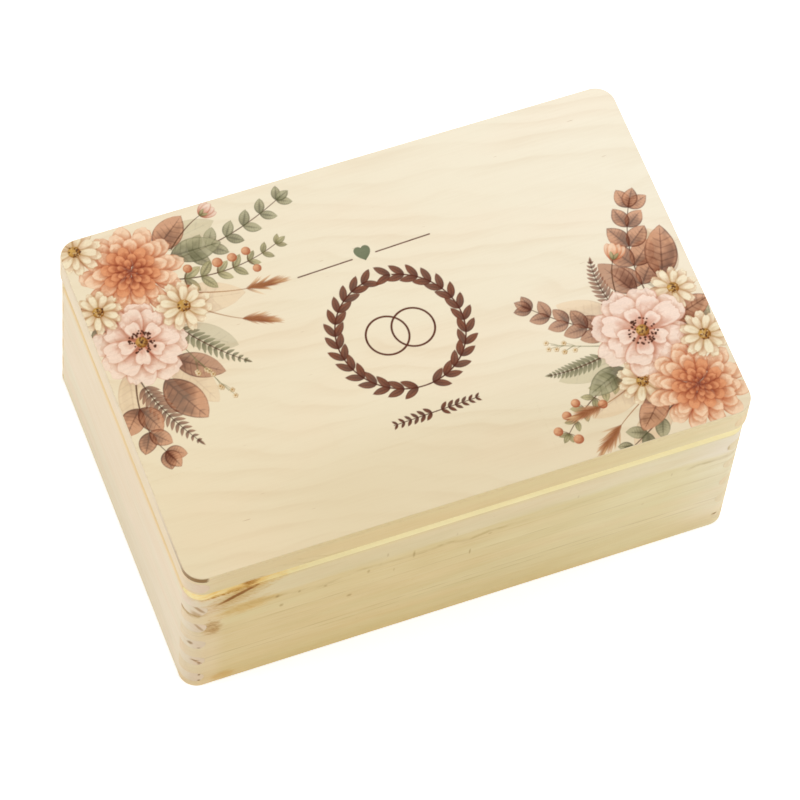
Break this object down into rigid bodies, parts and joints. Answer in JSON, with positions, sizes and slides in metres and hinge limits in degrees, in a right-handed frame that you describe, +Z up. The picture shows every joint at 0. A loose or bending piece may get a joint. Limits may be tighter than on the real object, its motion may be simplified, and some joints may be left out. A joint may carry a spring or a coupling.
{
  "type": "keepsake box",
  "caption": "Pine box with dovetailed, rounded corners and a plywood top and bottom, whose lid turns on butt hinges at the back, for papers and keepsakes.",
  "frame": {"origin": "centre of the box's footprint, on the face that it rests on", "axes": "+X along the long walls towards the right as seen from the front, +Y towards the hinged back, +Z up; the front wall faces -Y"},
  "size_m": [0.302, 0.202, 0.125],
  "materials": {
    "pine_box": "planed and sanded pine, bare and matt",
    "pine_lid": "planed and sanded pine, bare and matt",
    "plywood_top": "sanded pale plywood, bare and matt",
    "plywood_bottom": "sanded pale plywood, bare and matt",
    "printed_flowers": "matt flat print on the plywood",
    "hinge_brass": "bright brass plating",
    "hinge_pin_steel": "bright steel wire"
  },
  "bodies": {
    "box": {"front_wall": "pine_box", "back_wall": "pine_box", "left_wall": "pine_box", "right_wall": "pine_box", "bottom_panel": "plywood_bottom", "left_hinge_box_leaf": "hinge_brass", "left_hinge_pin": "hinge_pin_steel", "left_hinge_box_screws": "hinge_brass", "right_hinge_box_leaf": "hinge_brass", "right_hinge_pin": "hinge_pin_steel", "right_hinge_box_screws": "hinge_brass"},
    "lid": {"lid_front_rail": "pine_lid", "lid_back_rail": "pine_lid", "lid_left_rail": "pine_lid", "lid_right_rail": "pine_lid", "lid_panel": "plywood_top", "left_hinge_lid_leaf": "hinge_brass", "left_hinge_lid_screws": "hinge_brass", "right_hinge_lid_leaf": "hinge_brass", "right_hinge_lid_screws": "hinge_brass"}
  },
  "joints": [
    {"name": "lid_hinge", "type": "hinge", "parent": "box", "child": "lid", "pos_m": [0, 0.0973, 0.103], "axis": [-1, 0, 0], "range_deg": [0, 100]}
  ]
}
